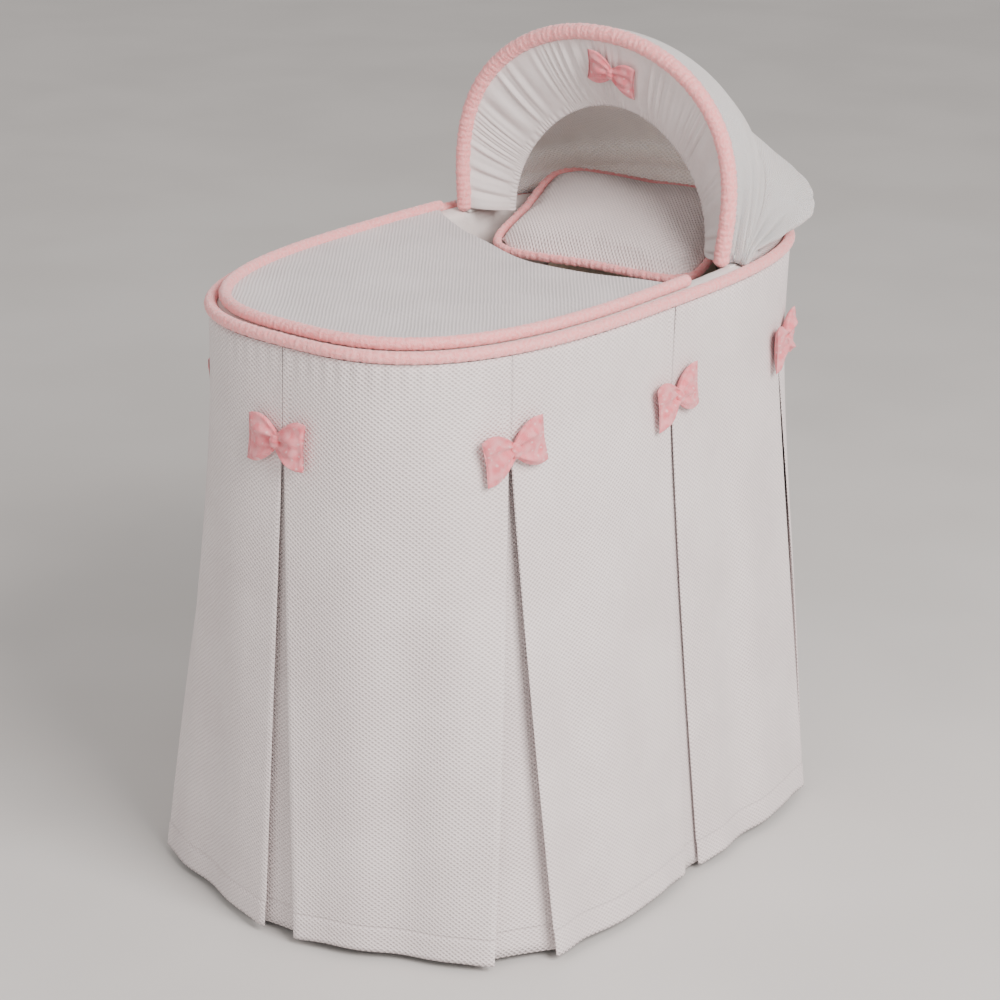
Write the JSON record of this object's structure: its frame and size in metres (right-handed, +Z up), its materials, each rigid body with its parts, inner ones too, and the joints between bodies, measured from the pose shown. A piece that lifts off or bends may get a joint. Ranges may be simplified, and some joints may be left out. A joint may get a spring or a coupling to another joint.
{
  "type": "bassinet on stand",
  "caption": "Oval skirted bassinet with a folding hood, lifting off a folding stand on swivel casters.",
  "frame": {"origin": "on the floor, under the centre of the oval", "axes": "+X along the bed towards the hood, +Y across it, +Z up"},
  "size_m": [0.84, 0.5678, 0.9538],
  "materials": {
    "frame_enamel": "gloss white enamel on steel tube",
    "plated_steel": "zinc-plated, satin",
    "black_plastic": "moulded, lightly textured",
    "wheel_rubber": "smooth grey-black tread on a plastic hub",
    "brake_plastic": "moulded red foot lever",
    "slat_wood": "planed, clear lacquer",
    "hardboard": "smooth brown hardboard",
    "wicker": "woven natural willow",
    "pivot_plastic": "moulded white",
    "white_waffle": "white cotton pique with a small diamond waffle",
    "white_lining": "plain white cotton, gathered",
    "white_foam": "cut polyurethane foam",
    "pink_plush": "pale pink plush, ruched over a cord",
    "pink_ribbon": "pink cotton with a faint tone-on-tone pattern"
  },
  "bodies": {
    "stand_frame": {"stand_ring": "frame_enamel", "cross_bar_head": "frame_enamel", "cross_bar_foot": "frame_enamel", "support_slats": "slat_wood", "basket_guides": "black_plastic", "hinge_bracket_head": "plated_steel", "hinge_bracket_foot": "plated_steel", "hinge_pin_head": "plated_steel", "hinge_pin_foot": "plated_steel"},
    "head_legs": {"leg_frame_head": "frame_enamel"},
    "foot_legs": {"leg_frame_foot": "frame_enamel"},
    "knob_head_near": {"clamp_knob_head_near": "black_plastic"},
    "knob_head_far": {"clamp_knob_head_far": "black_plastic"},
    "knob_foot_near": {"clamp_knob_foot_near": "black_plastic"},
    "knob_foot_far": {"clamp_knob_foot_far": "black_plastic"},
    "caster_1": {"caster_fork_1": "black_plastic", "caster_axle_1": "plated_steel"},
    "wheel_1": {"caster_wheel_1": "wheel_rubber"},
    "caster_2": {"caster_fork_2": "black_plastic", "caster_axle_2": "plated_steel"},
    "wheel_2": {"caster_wheel_2": "wheel_rubber"},
    "caster_3": {"caster_fork_3": "black_plastic", "caster_axle_3": "plated_steel"},
    "wheel_3": {"caster_wheel_3": "wheel_rubber"},
    "caster_4": {"caster_fork_4": "black_plastic", "caster_axle_4": "plated_steel"},
    "wheel_4": {"caster_wheel_4": "wheel_rubber"},
    "brake_3": {"caster_brake_3": "brake_plastic"},
    "brake_4": {"caster_brake_4": "brake_plastic"},
    "basket": {"basket_shell": "wicker", "basket_rim": "wicker", "base_board": "hardboard", "basket_liner": "white_lining", "mattress": "white_lining", "pillow_riser": "white_foam", "pillow": "white_waffle", "pillow_piping": "pink_plush", "skirt_waistband": "white_lining", "skirt_piping": "pink_plush", "skirt_panel_1": "white_waffle", "skirt_panel_2": "white_waffle", "skirt_panel_3": "white_waffle", "skirt_panel_4": "white_waffle", "skirt_panel_5": "white_waffle", "skirt_panel_6": "white_waffle", "skirt_panel_7": "white_waffle", "skirt_panel_8": "white_waffle", "pleat_inserts": "white_waffle", "skirt_bows": "pink_ribbon", "hood_pivots": "pivot_plastic"},
    "coverlet_body": {"coverlet": "white_waffle", "coverlet_piping": "pink_plush"},
    "hood_rear": {"rear_bow": "plated_steel", "canopy_back": "white_waffle", "canopy_front": "white_waffle"},
    "hood_front": {"front_bow": "plated_steel", "hood_trim": "pink_plush", "hood_valance": "white_lining", "hood_bow": "pink_ribbon"}
  },
  "joints": [
    {"name": "basket_lift", "type": "slide", "parent": "stand_frame", "child": "basket", "axis": [0, 0, 1], "range_m": [0, 0.3]},
    {"name": "coverlet_lift", "type": "slide", "parent": "basket", "child": "coverlet_body", "axis": [0, 0, 1], "range_m": [0, 0.2]},
    {"name": "head_legs_fold", "type": "hinge", "parent": "stand_frame", "child": "head_legs", "pos_m": [0.23, 0, 0.3804], "axis": [0, 1, 0], "range_deg": [0, 88]},
    {"name": "foot_legs_fold", "type": "hinge", "parent": "stand_frame", "child": "foot_legs", "pos_m": [-0.23, 0, 0.4144], "axis": [0, -1, 0], "range_deg": [0, 88]},
    {"name": "knob_head_near_turn", "type": "hinge", "parent": "stand_frame", "child": "knob_head_near", "pos_m": [0.23, -0.165, 0.3804], "axis": [0, 1, 0], "continuous": true},
    {"name": "knob_head_far_turn", "type": "hinge", "parent": "stand_frame", "child": "knob_head_far", "pos_m": [0.23, 0.165, 0.3804], "axis": [0, 1, 0], "continuous": true},
    {"name": "knob_foot_near_turn", "type": "hinge", "parent": "stand_frame", "child": "knob_foot_near", "pos_m": [-0.23, -0.1, 0.4144], "axis": [0, 1, 0], "continuous": true},
    {"name": "knob_foot_far_turn", "type": "hinge", "parent": "stand_frame", "child": "knob_foot_far", "pos_m": [-0.23, 0.1, 0.4144], "axis": [0, 1, 0], "continuous": true},
    {"name": "caster_1_swivel", "type": "hinge", "parent": "head_legs", "child": "caster_1", "pos_m": [0.23, -0.165, 0.06], "axis": [0, 0, 1], "continuous": true},
    {"name": "wheel_1_roll", "type": "hinge", "parent": "caster_1", "child": "wheel_1", "pos_m": [0.21, -0.165, 0.025], "axis": [0, 1, 0], "continuous": true},
    {"name": "caster_2_swivel", "type": "hinge", "parent": "head_legs", "child": "caster_2", "pos_m": [0.23, 0.165, 0.06], "axis": [0, 0, 1], "continuous": true},
    {"name": "wheel_2_roll", "type": "hinge", "parent": "caster_2", "child": "wheel_2", "pos_m": [0.21, 0.165, 0.025], "axis": [0, 1, 0], "continuous": true},
    {"name": "caster_3_swivel", "type": "hinge", "parent": "foot_legs", "child": "caster_3", "pos_m": [-0.23, -0.1, 0.06], "axis": [0, 0, 1], "continuous": true},
    {"name": "wheel_3_roll", "type": "hinge", "parent": "caster_3", "child": "wheel_3", "pos_m": [-0.21, -0.1, 0.025], "axis": [0, 1, 0], "continuous": true},
    {"name": "caster_4_swivel", "type": "hinge", "parent": "foot_legs", "child": "caster_4", "pos_m": [-0.23, 0.1, 0.06], "axis": [0, 0, 1], "continuous": true},
    {"name": "wheel_4_roll", "type": "hinge", "parent": "caster_4", "child": "wheel_4", "pos_m": [-0.21, 0.1, 0.025], "axis": [0, 1, 0], "continuous": true},
    {"name": "brake_3_press", "type": "hinge", "parent": "caster_3", "child": "brake_3", "pos_m": [-0.207, -0.1, 0.055], "axis": [0, 1, 0], "range_deg": [0, 8]},
    {"name": "brake_4_press", "type": "hinge", "parent": "caster_4", "child": "brake_4", "pos_m": [-0.207, 0.1, 0.055], "axis": [0, 1, 0], "range_deg": [0, 8]},
    {"name": "hood_rear_fold", "type": "hinge", "parent": "basket", "child": "hood_rear", "pos_m": [0.158, 0, 0.712], "axis": [0, 1, 0], "range_deg": [0, 12], "deforming": ["canopy_back"]},
    {"name": "hood_front_fold", "type": "hinge", "parent": "hood_rear", "child": "hood_front", "pos_m": [0.158, 0, 0.712], "axis": [0, 1, 0], "range_deg": [0, 28], "deforming": ["canopy_front"]}
  ],
  "couplings": [
    {"joint": "hood_rear_fold", "follows": "hood_front_fold", "ratio": 0.4}
  ]
}
